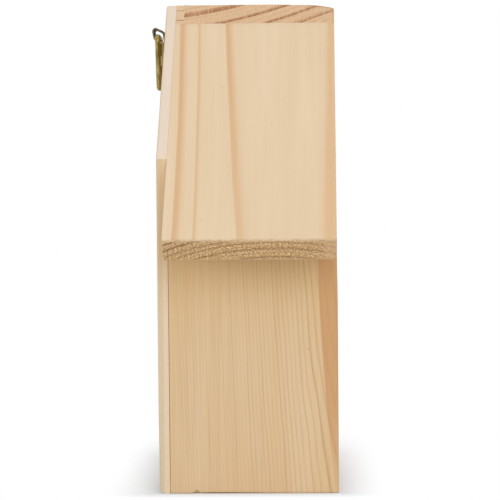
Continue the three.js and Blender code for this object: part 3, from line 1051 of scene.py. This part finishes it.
# Outlines of the panel from its front face back to its rounded edges, joined by faces
def panelMesh():
    half = reach("back_panel", (1, 0, 0))
    top = reach("back_panel", (-slope, 0, slope)) / slope - panel["lowered"]
    ease, footEase, turns = panel["backEase"], panel["footEase"], panel["easeTurns"]
    rise = panel["footRise"]
    outlines = [[(-half, panelFront, 0), (half, panelFront, 0), (half, panelFront, rise),
                 (half, panelFront, top - half), (0, panelFront, top), (-half, panelFront, top - half),
                 (-half, panelFront, rise)]]
    for k in range(turns + 1):
        turn = math.pi / 2 * k / turns
        inwards, behind = 1 - math.cos(turn), 1 - math.sin(turn)
        side = half - ease * inwards
        peak = top - ease * inwards / slope
        back = panelBack - ease * behind
        foot = panelBack - panel["footLean"] - footEase * behind
        low = footEase * inwards
        outlines.append([(-side, foot, low), (side, foot, low), (side, back, rise), (side, back, peak - side),
                         (0, back, peak), (-side, back, peak - side), (-side, back, rise)])
    shell = bmesh.new()
    rings = [[shell.verts.new(Vector(point) * mm) for point in outline] for outline in outlines]
    shell.faces.new(rings[0])
    shell.faces.new((rings[-1][0], rings[-1][6], rings[-1][2], rings[-1][1]))
    shell.faces.new((rings[-1][6], rings[-1][5], rings[-1][4], rings[-1][3], rings[-1][2]))
    for lower, upper in zip(rings, rings[1:]):
        for k in range(len(lower)):
            after = (k + 1) % len(lower)
            shell.faces.new((lower[after], lower[k], upper[k], upper[after]))
    # all but the two points at the height of the foot's lean, where the edge runs straight on
    corners = [shell.edges.get((lower[k], upper[k])) for lower, upper in zip(rings, rings[1:])
               for k in (0, 1, 3, 4, 5)]
    bmesh.ops.bevel(shell, geom=corners, offset=panel["ease"] * mm, segments=panel["easeTurns"],
                    profile=0.5, affect="EDGES")
    bmesh.ops.recalc_face_normals(shell, faces=shell.faces)
    mesh = bpy.data.meshes.new("backPanel")
    shell.to_mesh(mesh)
    shell.free()
    return carved(mesh, [pinSeat(node) for node in pinNodes])


def pinSeat(node):
    radius = panel["seatRadius"]
    flare = panel["seatFlare"]
    profile = [(0, panelBack - panel["seatDepth"]), (radius, panelBack - panel["seatDepth"]),
               (radius, panelBack - flare), (radius + 2 * flare, panelBack + flare), (0, panelBack + flare)]
    points, faces = turned(profile, pinHeads["turns"])
    return meshOf("pinSeat", backwards(points, node), faces)


def pinMesh(node):
    low, high = boxOf(node)
    radius = (high.x - low.x) / 2
    shank, head, rim, ease = pinHeads["shank"], pinHeads["head"], pinHeads["rim"], pinHeads["rimEase"]
    dish = high.y - pinHeads["dish"]
    profile = [(0, low.y), (shank, low.y + pinHeads["tip"]), (shank, high.y - head), (radius, high.y - head),
               (radius, high.y - rim), (radius - ease, high.y - ease), (radius - rim, high.y),
               (radius * pinHeads["dishReach"], dish), (0, dish)]
    points, faces = turned(profile, pinHeads["turns"])
    return meshOf(node, backwards(points, node), faces)


def plyFinish():
    ply = Finish("backPanelPly")
    depth = ply.less(panelBack, ply.coordinate((0, 1, 0)))
    upright = ply.coordinate((0, 0, 1))
    spot = ply.join(ply.coordinate((1, 0, 0)), depth, upright)
    pores, fibres = (ply.clouds(spot, panel[figure]) for figure in ("pores", "fibres"))

    # edge: pale face veneers either side of a core that shows its end grain
    thick = panelBack - panelFront
    stops = [(0, panel["plies"][0][1])]
    for (at, pale), inner in zip(panel["plies"], panel["plies"][1:]):
        stops += [(at / thick - panel["plyJoint"], pale), (at / thick + panel["plyJoint"], inner[1])]
    stops.append((1, panel["plies"][-1][1]))
    layer = ply.scaled(ply.less(pores, 0.5), panel["poreShade"], ply.ramp(ply.over(depth, thick), stops))
    edge = ply.mix(ply.spread(layer, 0, 1), panel["edgeDark"], panel["edgePale"])
    # painted shade on the upright edge below the eaves
    edge = ply.mix(ply.spread(upright, *panel["eaveShadeRise"]), edge, panel["eaveShadeEdgeTone"])
    # painted light: the sloping edge, which faces up, is paler
    edge = ply.mix(ply.spread(ply.facing((0, 0, 1)), *panel["slopeLitTurn"]), edge, panel["slopeLitTone"])

    # faces: a peeled veneer, whose figure comes from a sheet that cuts the rings at a flat angle
    years = ply.reckon("FRACT", ply.times(ply.clouds(spot, panel["sheet"]), panel["veneerRings"]))
    lines = ply.ramp(years, panel["year"])
    patches = ply.spread(ply.clouds(spot, panel["patches"]), *panel["patchRange"])
    share = ply.plus(ply.times(lines, panel["ringShare"]), ply.spread(fibres, *panel["fibreRange"]))
    face = ply.mix(ply.plus(patches, share), panel["facePale"], panel["faceDeep"])
    colour = ply.mix(ply.spread(ply.facing((0, 1, 0)), *panel["faceTurn"]), edge, face)
    relief = ply.relief(ply.scaled(pores, panel["poreHeight"], fibres), panel["relief"])
    roughness = ply.spread(fibres, *panel["roughness"])
    return ply.surface(colour, roughness, relief, Specular_IOR_Level=0.3)


def steelFinish():
    steel = Finish("pinSteel")
    rubbed = steel.clouds(steel.place, pinHeads["scratches"])
    colour = steel.mix(rubbed, pinHeads["dark"], pinHeads["bright"])
    return steel.surface(colour, steel.spread(rubbed, *pinHeads["roughness"]), Metallic=1)


sheet = addPiece("backPanel", panelMesh(), plyFinish(), panel["node"])
sheet.modifiers.new("evenShading", "WEIGHTED_NORMAL").keep_sharp = True
steel = steelFinish()
for number, node in enumerate(pinNodes, 1):
    addPiece(f"panelPin{number}", pinMesh(node), steel, node, 30)
print("made the panel and its pins")

# Bamboo canes: sawn tubes, slightly oval, closed behind by a knot
canes = {
    "slot": "bamboo",
    "turns": 44,
    "skinEase": 0.35,
    "mouthEase": 0.45,
    "endRows": 6,
    "boreRows": 6,
    "oval": 0.035,
    "boreOval": 0.07,
    "boreShift": 0.35,  # how far the bore lies from the middle at most, less where it is under this radius
    "shiftRadius": 4,
    "ripple": (1.5, 0.012, 0.05),  # how often round the cane, and how deep in the skin and in the bore
    "outOfSquare": (0.05, 0.5),  # least and most
    "cutReach": 2,  # how far behind its end the cut is felt
    "sawMarks": 0.12,
    "sawScale": 0.9,
    "noiseSteps": (90, 40),  # between canes, for their ripples and for their saw marks
    "skinRows": (0.25, 0.5, 0.75, 0.9, 0.97),  # along the outside, as shares of the length
    "edgeRow": 0.3,  # how far off both sides the middle row of a rounded edge lies, as a share of its round
    "endShell": (0.06, 0.9),  # how far out in the wall a sawn end starts, and how far it goes on
    "mouthShell": 0.03,
    "mouthDeep": 0.02,
    "knot": 3,
    "knotDome": 0.8,
    "knotRows": ((0.66, 0.4), (0.33, 0.8), (0, 1)),  # radius and height of each, as shares
    "skin": (214, 186, 130),
    "skinDeep": (186, 150, 92),
    "skinStain": (160, 122, 70),
    "flesh": (229, 208, 160),
    "fleshOuter": (205, 172, 118),
    "bundle": (134, 96, 54),
    "bore": (196, 164, 112),
    "borePale": (222, 200, 156),
    # painted shade deep in the bore
    "boreShade": (120, 88, 52),
    "coolest": (0.86, 0.84, 0.8, 1),  # what each cane's tones are multiplied by, between these two
    "warmest": (1.08, 1.03, 0.98, 1),
    # noises: how often they come in a millimetre across, along and up, then detail and roughness
    "streaks": ((1.3, 0.03, 1.3), 5, 0.6),
    "patches": ((0.12, 0.05, 0.12), 3, 0.55),
    "grime": ((0.8, 0.016, 0.8), 4, 0.65),
    # bundles of fibres: their scale, the range of a dot, and where in the wall they show, wide ones
    # near the bore and tight ones near the skin
    "bundles": {
        "often": (1, 0.02, 1),
        "wide": (1.15, (0.42, 0.22), (0.62, 0.45, 0, 0.75)),
        "tight": (2.1, (0.4, 0.2), (0.42, 0.7, 0, 0.9)),
    },
    # ranges: from and to, then the share at each where that isn't 0 and 1
    "skinRange": (0.35, 0.7),
    "stainRange": (0.5, 0.75, 0, 0.5),
    "fleshRange": (0.25, 0.95),
    "grimeRange": (0.45, 0.8, 0, 0.4),
    "boreRange": (0.3, 0.7),
    "boreShadeRange": (0, 0.8, 0, 0.45),
    "boreEdge": (0.05, 0.02),
    "endTurn": (0.4, 0.75),
    "endDepth": (0.5, 0.1),
    "roughness": (0.3, 0.7, 0.34, 0.46),
    "sawnRougher": 0.36,
    "bundleHeight": -0.5,
    "relief": 0.07,
}
caneNodes = sorted(node for node in frame["nodes"] if node.startswith("cane_"))


# Radius of a cane's bore: the nearest corners to its axis, apart from one that lies on it
def boreOf(node, x, z):
    corners = frame["nodes"][node].data.vertices
    spans = [math.hypot(corner.co.x / mm - x, corner.co.z / mm - z) for corner in corners]
    return min(span for span in spans if span > 1)


# Rows of a cane from the middle of its closed end, round the outside and down the bore.
# Each has its radius, its place along the cane, how far it lies out in the wall, and how deep in the bore
def caneRows(radius, bore, back, front):
    ease = canes["skinEase"]
    mouth = canes["mouthEase"]
    rows = [(0, back, 0, 1), (radius - ease, back, 1, 0), (radius, back + ease, 1, 0)]
    rows += [(radius, back + (front - back) * share, 1, 0) for share in canes["skinRows"]]
    middle = canes["edgeRow"]
    rows += [(radius, front - ease, 1, 0), (radius - middle * ease, front - middle * ease, 1, 0)]
    inmost, span = canes["endShell"]
    for k in range(canes["endRows"] + 1):
        share = 1 - k / canes["endRows"]
        rows.append((bore + mouth + (radius - ease - bore - mouth) * share, front, inmost + span * share, 0))
    rows += [(bore + middle * mouth, front - middle * mouth, canes["mouthShell"], 0),
             (bore, front - mouth, 0, canes["mouthDeep"])]
    floor = back + canes["knot"]
    for k in range(1, canes["boreRows"] + 1):
        share = k / canes["boreRows"]
        rows.append((bore, front - mouth + (floor - front + mouth) * share, 0, share))
    for out, domed in canes["knotRows"]:
        rows.append((bore * out, floor + domed * canes["knotDome"], 0, 1))
    return rows


def caneMesh(node, chance):
    low, high = boxOf(node)
    x, z = (low.x + high.x) / 2, (low.z + high.z) / 2
    radius = (high.x - low.x) / 2
    bore = boreOf(node, x, z)
    front = -low.y
    rows = caneRows(radius, bore, -high.y, front)
    points, faces = turned([row[:2] for row in rows], canes["turns"])
    ovalTurn, boreTurn, tiltTurn = (chance.uniform(0, 2 * math.pi) for spin in range(3))
    shift = chance.uniform(0, canes["boreShift"]) * min(1, bore / canes["shiftRadius"])
    tilt = chance.uniform(*canes["outOfSquare"])
    tone = chance.random()
    often, skinRipple, boreRipple = canes["ripple"]
    rippleStep, sawStep = canes["noiseSteps"]
    sides = [row for row in rows for spin in range(1 if row[0] == 0 else canes["turns"])]
    placed = []
    facts = []
    for point, (rowRadius, height, shell, deep) in zip(points, sides):
        angle = math.atan2(point.y, point.x)
        ripple = noise.noise(Vector((math.cos(angle) * often, math.sin(angle) * often, tone * rippleStep)))
        outer = 1 - canes["oval"] * (0.5 - 0.5 * math.cos(2 * (angle - ovalTurn))) - skinRipple * abs(ripple)
        inner = 1 - canes["boreOval"] * math.cos(2 * (angle - boreTurn)) + boreRipple * ripple
        scale = outer * shell + inner * (1 - shell)
        across = point.x * scale + (1 - shell) * shift * math.cos(boreTurn)
        up = point.y * scale + (1 - shell) * shift * math.sin(boreTurn)
        nearFront = max(0, 1 - (front - height) / canes["cutReach"])
        cut = tilt * (0.5 - 0.5 * math.cos(angle - tiltTurn)) * rowRadius / radius
        sawn = noise.noise(Vector((across + x, up + z, tone * sawStep)) * canes["sawScale"])
        cut += canes["sawMarks"] * (0.5 + 0.5 * sawn)
        placed.append((x + across, -(height - cut * nearFront), z + up))
        facts.append((shell, tone, deep, 1))
    mesh = meshOf(node, placed, faces)
    layer = mesh.color_attributes.new("caneFacts", "FLOAT_COLOR", "POINT")
    for item, fact in zip(layer.data, facts):
        item.color = fact
    return mesh


def bambooFinish():
    reed = Finish("caneBamboo")
    facts = reed.add("Attribute", attribute_name="caneFacts").outputs["Color"]
    shell, tone, deep = reed.add("SeparateColor", {0: facts}).outputs[:3]
    spot = reed.vector("MULTIPLY", reed.place, (1 / mm, 1 / mm, 1 / mm))
    streaks, patches, grime = (reed.clouds(spot, canes[figure]) for figure in ("streaks", "patches", "grime"))
    inBore = reed.spread(shell, *canes["boreEdge"])
    onEnd = reed.spread(reed.facing((0, 1, 0)), *canes["endTurn"])
    skin = reed.mix(reed.spread(streaks, *canes["skinRange"]), canes["skin"], canes["skinDeep"])
    skin = reed.mix(reed.spread(patches, *canes["stainRange"]), skin, canes["skinStain"])
    lining = reed.mix(reed.spread(streaks, *canes["boreRange"]), canes["bore"], canes["borePale"])
    # painted shade: the bore darkens deeper in
    lining = reed.mix(reed.spread(deep, *canes["boreShadeRange"]), lining, canes["boreShade"])

    # sawn end: pale flesh, tighter and darker towards the skin, dotted with the bundles of its fibres
    def bundlesOf(kind):
        scale, edge, where = canes["bundles"][kind]
        flat = reed.vector("MULTIPLY", spot, canes["bundles"]["often"])
        return reed.times(reed.spread(reed.dots(flat, scale), *edge), reed.spread(shell, *where))

    dots = reed.greater(bundlesOf("wide"), bundlesOf("tight"))
    flesh = reed.mix(reed.spread(shell, *canes["fleshRange"]), canes["flesh"], canes["fleshOuter"])
    flesh = reed.mix(reed.spread(grime, *canes["grimeRange"]), flesh, canes["fleshOuter"])
    flesh = reed.mix(dots, flesh, canes["bundle"])
    sawn = reed.times(onEnd, reed.spread(deep, *canes["endDepth"]))
    colour = reed.mix(sawn, reed.mix(inBore, skin, lining), flesh)
    colour = reed.mix(1, colour, reed.mix(tone, canes["coolest"], canes["warmest"]), "MULTIPLY")
    smooth = reed.spread(streaks, *canes["roughness"])
    roughness = reed.scaled(reed.greater(onEnd, inBore), canes["sawnRougher"], smooth)
    height = reed.scaled(dots, canes["bundleHeight"], reed.plus(streaks, grime))
    return reed.surface(colour, roughness, reed.relief(height, canes["relief"]), Specular_IOR_Level=0.4)


bamboo = bambooFinish()
for node in caneNodes:
    number = node.split("_")[-1]
    addPiece("caneTube" + number, caneMesh(node, random.Random(int(number))), bamboo, node, 50)
print("made the canes")

# Brass hanger: folded strap, split ring and slotted screw, drawn off the back of the panel
strap = {
    "node": "hanger_strap",
    "thick": 0.8,
    "layerGap": 0.1,
    "standOff": 0.4,  # the loop pulls the inner layer this far off the panel
    "foldRadius": 1.8,  # where it turns out to the loop; bends are measured to the middle of the strap
    "rise": math.radians(25),  # from the panel up to the top of the loop
    "topRadius": 0.95,
    "wrapGap": 0.15,  # between the strap and the ring's bar
    "wrapTurn": math.radians(72),
    "neckBend": 1.2,
    "cornerRadius": 2,
    "edge": 0.22,
    "edgeTurns": 3,
    "bendTurns": 12,
    "endRows": (0.06, 0.12, 0.18, 0.24, 0.3, 0.6),  # up each layer from its rounded end, as shares of it
}
ringWire = {
    "node": "hanger_ring",
    "wire": 1,
    "halfWidth": 7,
    "drop": 19.9,
    "cornerRadius": 2,
    "tipRadius": 3,
    "split": 0.4,
    "splitEase": 0.82,  # thickness of the wire at its two ends, as a share
    "turns": 20,
    "cornerTurns": 14,
    "tipTurns": 26,
}
screwHead = {
    "node": "hanger_screw",
    "slotWidth": 0.7,
    "slotDepth": 0.6,
    "slotBeyond": 1,  # how far the slot's cutter reaches past the head
    "shank": 1,
    "tip": 1.4,
    "turns": 40,
    "domeRows": 9,
}


def arc(middle, radius, start, end, steps):
    turns = [start + (end - start) * k / steps for k in range(steps + 1)]
    return [(middle[0] + radius * math.cos(turn), middle[1] + radius * math.sin(turn)) for turn in turns]


# Each point of a line, with the way that the line runs there
def followed(line):
    for k, (across, height) in enumerate(line):
        before = Vector(line[max(k - 1, 0)])
        after = Vector(line[min(k + 1, len(line) - 1)])
        yield across, height, (after - before).normalized()


# Middle line of the folded strap, as distance off the panel and height: up, out over the bar and back
def strapLine():
    low, high = boxOf(strap["node"])
    ringLow, ringHigh = boxOf(ringWire["node"])
    thick, fold, top, turn = strap["thick"], strap["foldRadius"], strap["topRadius"], strap["wrapTurn"]
    steps = strap["bendTurns"]
    barOff = (ringLow.y + ringHigh.y) / 2 - panelBack
    barHeight = ringHigh.z - ringWire["wire"]
    foldOff = thick / 2 + strap["standOff"] + fold
    topOff = high.y - panelBack - thick / 2 - top
    topHeight = high.z - thick / 2 - top
    leaving = strap["rise"] + math.pi / 2
    run = topOff - foldOff + (top - fold) * math.cos(leaving)
    foldHeight = topHeight + (top - fold) * math.sin(leaving) - run * math.tan(strap["rise"])
    wrap = ringWire["wire"] + strap["wrapGap"] + thick / 2
    apart = math.hypot(topOff - barOff, topHeight - barHeight)
    meeting = math.atan2(topHeight - barHeight, topOff - barOff) - math.acos((wrap - top) / apart)
    outer = 1.5 * thick + strap["layerGap"]
    slant = (barOff + wrap * math.cos(turn) - outer) / math.sin(turn)
    neck = barHeight - wrap * math.sin(turn) - slant * math.cos(turn)
    bend = strap["neckBend"]
    start = (outer + bend * math.sin(turn), neck + bend * math.cos(turn))
    end = (outer, neck - bend)
    line = [(thick / 2, low.z + (end[1] - low.z) * share) for share in (0, *strap["endRows"], 1)]
    line += arc((foldOff, foldHeight), fold, math.pi, leaving, steps)
    line += arc((topOff, topHeight), top, leaving, meeting, steps)
    line += arc((barOff, barHeight), wrap, meeting, -turn, steps)
    guides = (start, (outer, neck), end)
    for k in range(steps + 1):
        share = k / steps
        weights = ((1 - share) ** 2, 2 * share * (1 - share), share ** 2)
        line.append(tuple(sum(weight * guide[axis] for weight, guide in zip(weights, guides))
                          for axis in range(2)))
    line += [(outer, low.z + (end[1] - low.z) * share) for share in (*reversed(strap["endRows"]), 0)]
    return line, low.z


def strapMesh():
    line, end = strapLine()
    wide = boxOf(strap["node"])[1].x
    edge = strap["edge"]
    corner = strap["cornerRadius"]
    points = []
    rows = []
    for off, height, heading in followed(line):
        half = wide
        if height - end < corner:
            half -= corner - math.sqrt(max(corner ** 2 - (corner - height + end) ** 2, 0))
        section = []
        for side, level, start in ((1, 1, 0), (-1, 1, 90), (-1, -1, 180), (1, -1, 270)):
            middle = (side * (half - edge), level * (strap["thick"] / 2 - edge))
            section += arc(middle, edge, math.radians(start), math.radians(start + 90), strap["edgeTurns"])
        rows.append(range(len(points), len(points) + len(section)))
        for across, through in section:
            points.append((-across, panelBack + off + through * heading.y, height - through * heading.x))
    faces = stitched(rows, len(rows[0])) + [tuple(rows[0])[::-1], tuple(rows[-1])]
    return meshOf("hangerStrap", points, faces)


def ringMesh():
    low, high = boxOf(ringWire["node"])
    wire, corner, tip = ringWire["wire"], ringWire["cornerRadius"], ringWire["tipRadius"]
    cornerX = ringWire["halfWidth"] - corner
    tipY = tip - ringWire["drop"]
    bar = high.z - wire
    apart = math.hypot(cornerX, tipY + corner)
    lean = math.atan2(tipY + corner, -cornerX) + math.acos((corner - tip) / apart)
    line = [(ringWire["split"] / 2, 0)]
    line += arc((cornerX, -corner), corner, math.pi / 2, lean, ringWire["cornerTurns"])
    line += arc((0, tipY), tip, lean, -math.pi - lean, ringWire["tipTurns"])
    line += arc((-cornerX, -corner), corner, math.pi - lean, math.pi / 2, ringWire["cornerTurns"])
    line.append((-ringWire["split"] / 2, 0))
    depth = (low.y + high.y) / 2
    points = []
    rows = []
    ends = (0, len(line) - 1)
    for k, (across, height, heading) in enumerate(followed(line)):
        rows.append(range(len(points), len(points) + ringWire["turns"]))
        size = wire * (ringWire["splitEase"] if k in ends else 1)
        for spin in range(ringWire["turns"]):
            angle = 2 * math.pi * spin / ringWire["turns"]
            aside = size * math.cos(angle)
            points.append((across - heading.y * aside, depth + size * math.sin(angle),
                           bar + height + heading.x * aside))
    faces = stitched(rows, ringWire["turns"]) + [tuple(rows[0])[::-1], tuple(rows[-1])]
    return meshOf("hangerRing", points, faces)


def screwMesh():
    low, high = boxOf(screwHead["node"])
    radius = (high.x - low.x) / 2
    x, z = (low.x + high.x) / 2, (low.z + high.z) / 2
    seat = panelBack + 2 * strap["thick"] + strap["layerGap"]
    dome = high.y - seat
    shank = screwHead["shank"]
    profile = [(0, low.y), (shank, low.y + screwHead["tip"]), (shank, seat)]
    for k in range(screwHead["domeRows"]):
        turn = math.pi / 2 * k / screwHead["domeRows"]
        profile.append((radius * math.cos(turn), seat + dome * math.sin(turn)))
    profile.append((0, seat + dome))
    points, faces = turned(profile, screwHead["turns"])
    head = meshOf("hangerScrew", backwards(points, screwHead["node"]), faces)
    half, beyond = screwHead["slotWidth"] / 2, screwHead["slotBeyond"]
    depths = (high.y - screwHead["slotDepth"], high.y + beyond)
    corners = [(x + side * (radius + beyond), y, z + level * half)
               for side in (-1, 1) for y in depths for level in (-1, 1)]
    sides = [(0, 1, 3, 2), (4, 6, 7, 5), (0, 4, 5, 1), (2, 3, 7, 6), (0, 2, 6, 4), (1, 5, 7, 3)]
    return carved(head, [meshOf("slot", corners, sides)])


brassTones = {
    "strapBrass": {
        "dark": (82, 74, 52),
        "bright": (132, 118, 82),
        "metal": 0.4,
        "roughness": (0.3, 0.7, 0.5, 0.64),
        # tarnish and painted shade inside the loop, by the distance off its middle, and below it, by the
        # height off the ring's top
        "tarnishAndLoopShade": {"tone": (40, 34, 24), "turn": (0.2, 0.7, 0, 0.75), "from": 4.5, "to": 3.5},
        "rubbed": {"tone": (196, 172, 108), "share": 0.8, "from": -0.5, "to": -2.5},
    },
    "ringBrass": {
        "dark": (132, 114, 62),
        "bright": (184, 166, 106),
        "metal": 1,
        "roughness": (0.3, 0.7, 0.26, 0.4),
    },
}
# Noises of the brass, how often in a metre, then detail and roughness; and the ranges in which they show
drawnBrass = {
    "mottle": ((700, 700, 175), 3, 0.55),
    "grain": ((2600, 2600, 2600), 3, 0.6),
    "mottleRange": (0.35, 0.68),
    "grainRange": (0.55, 0.8, 0, 0.3),
    "relief": 0.015,
}


# Middle of the loop: the top of the ring's bar
def loopMiddle():
    low, high = boxOf(ringWire["node"])
    return (0, (low.y + high.y) / 2, high.z)


def brassFinish(name):
    tones = brassTones[name]
    brass = Finish(name)
    mottle, grain = (brass.clouds(brass.place, drawnBrass[figure]) for figure in ("mottle", "grain"))
    colour = brass.mix(brass.spread(mottle, *drawnBrass["mottleRange"]), tones["dark"], tones["bright"])
    colour = brass.mix(brass.spread(grain, *drawnBrass["grainRange"]), colour, tones["dark"])
    if "rubbed" in tones:
        rubbed = tones["rubbed"]
        height = brass.coordinate((0, 0, 1), loopMiddle()[2])
        share = brass.spread(height, rubbed["from"], rubbed["to"], 0, rubbed["share"])
        colour = brass.mix(share, colour, rubbed["tone"])
    # tarnish and painted shade on the loop's inner faces, around its middle
    if "tarnishAndLoopShade" in tones:
        tarnishAndLoopShade = tones["tarnishAndLoopShade"]
        middle = [part * mm for part in loopMiddle()]
        inwards = brass.vector("MULTIPLY", brass.vector("SUBTRACT", middle, brass.place), (0, 1 / mm, 1 / mm))
        facing = brass.vector("DOT_PRODUCT", brass.add("TexCoord").outputs["Normal"], inwards)
        near = brass.spread(brass.vector("LENGTH", inwards), tarnishAndLoopShade["from"], tarnishAndLoopShade["to"])
        share = brass.times(brass.spread(facing, *tarnishAndLoopShade["turn"]), near)
        colour = brass.mix(share, colour, tarnishAndLoopShade["tone"])
    roughness = brass.spread(mottle, *tones["roughness"])
    relief = brass.relief(grain, drawnBrass["relief"])
    return brass.surface(colour, roughness, relief, Metallic=tones["metal"])


brass = brassFinish("strapBrass")
addPiece("hangerStrap", strapMesh(), brass, strap["node"])
addPiece("hangerRing", ringMesh(), brassFinish("ringBrass"), ringWire["node"])
addPiece("hangerScrew", screwMesh(), brass, screwHead["node"], 30)
print("made the hanger")
